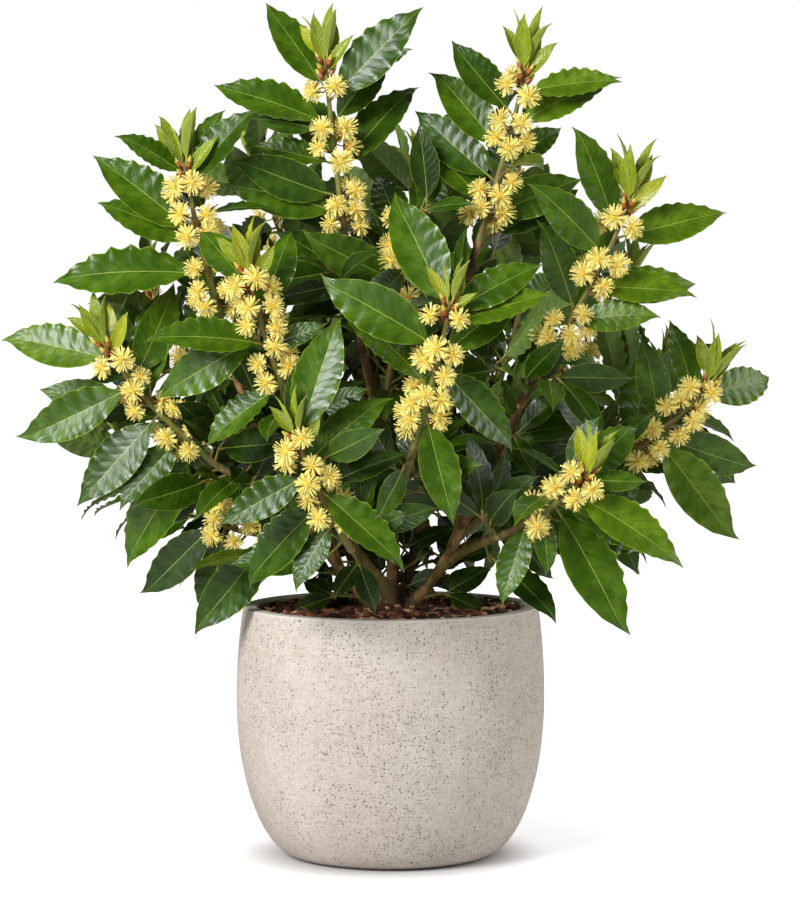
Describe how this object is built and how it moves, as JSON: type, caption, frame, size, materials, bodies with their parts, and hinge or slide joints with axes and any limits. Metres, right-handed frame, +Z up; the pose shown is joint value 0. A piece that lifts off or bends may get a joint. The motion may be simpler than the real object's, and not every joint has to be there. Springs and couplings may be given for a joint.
{
  "type": "bay laurel shrub in a pot",
  "caption": "Bushy bay laurel in flower with dark glossy leaves and pale yellow flower clusters, standing in a round bowl-sided speckled pot with bark mulch.",
  "frame": {"origin": "centre of the pot's flat underside", "axes": "+X to the plant's right seen from its front, +Y to its back, +Z up"},
  "size_m": [0.6531, 0.554, 0.7244],
  "materials": {
    "pot": "matte",
    "soil": "matte",
    "mulch": "matte",
    "stem_bark": "matte",
    "bough_bark": "matte",
    "foliage": "satin"
  },
  "bodies": {
    "root": {"bark_mulch": "mulch", "bough_back": "bough_bark", "bough_front": "bough_bark", "bough_front_left": "bough_bark", "bough_inner_front": "bough_bark", "bough_inner_left": "bough_bark", "bough_inner_low_left": "bough_bark", "bough_inner_low_right": "bough_bark", "bough_inner_right": "bough_bark", "bough_low_back": "bough_bark", "bough_low_back_left": "bough_bark", "bough_low_back_right": "bough_bark", "bough_low_front": "bough_bark", "bough_low_left": "bough_bark", "bough_low_right": "bough_bark", "bough_low_right_side": "bough_bark", "bough_side_back_left": "bough_bark", "bough_side_back_right": "bough_bark", "bough_side_left": "bough_bark", "bough_side_right": "bough_bark", "bough_under_left": "bough_bark", "bough_under_right": "bough_bark", "bough_upper_back_left": "bough_bark", "bough_upper_back_right": "bough_bark", "foliage_back": "foliage", "foliage_crown_back": "foliage", "foliage_crown_left": "foliage", "foliage_crown_right": "foliage", "foliage_front": "foliage", "foliage_front_left": "foliage", "foliage_inner_front": "foliage", "foliage_inner_left": "foliage", "foliage_inner_low_left": "foliage", "foliage_inner_low_right": "foliage", "foliage_inner_right": "foliage", "foliage_low_back": "foliage", "foliage_low_back_left": "foliage", "foliage_low_back_right": "foliage", "foliage_low_front": "foliage", "foliage_low_left": "foliage", "foliage_low_right": "foliage", "foliage_low_right_side": "foliage", "foliage_shoulder_left": "foliage", "foliage_shoulder_right": "foliage", "foliage_side_back_left": "foliage", "foliage_side_back_right": "foliage", "foliage_side_left": "foliage", "foliage_side_right": "foliage", "foliage_under_left": "foliage", "foliage_under_right": "foliage", "foliage_upper_back_left": "foliage", "foliage_upper_back_right": "foliage", "pot": "pot", "soil": "soil", "stem_back_left": "stem_bark", "stem_back_right": "stem_bark", "stem_left": "stem_bark", "stem_right": "stem_bark", "stem_trunk": "stem_bark"}
  },
  "joints": []
}
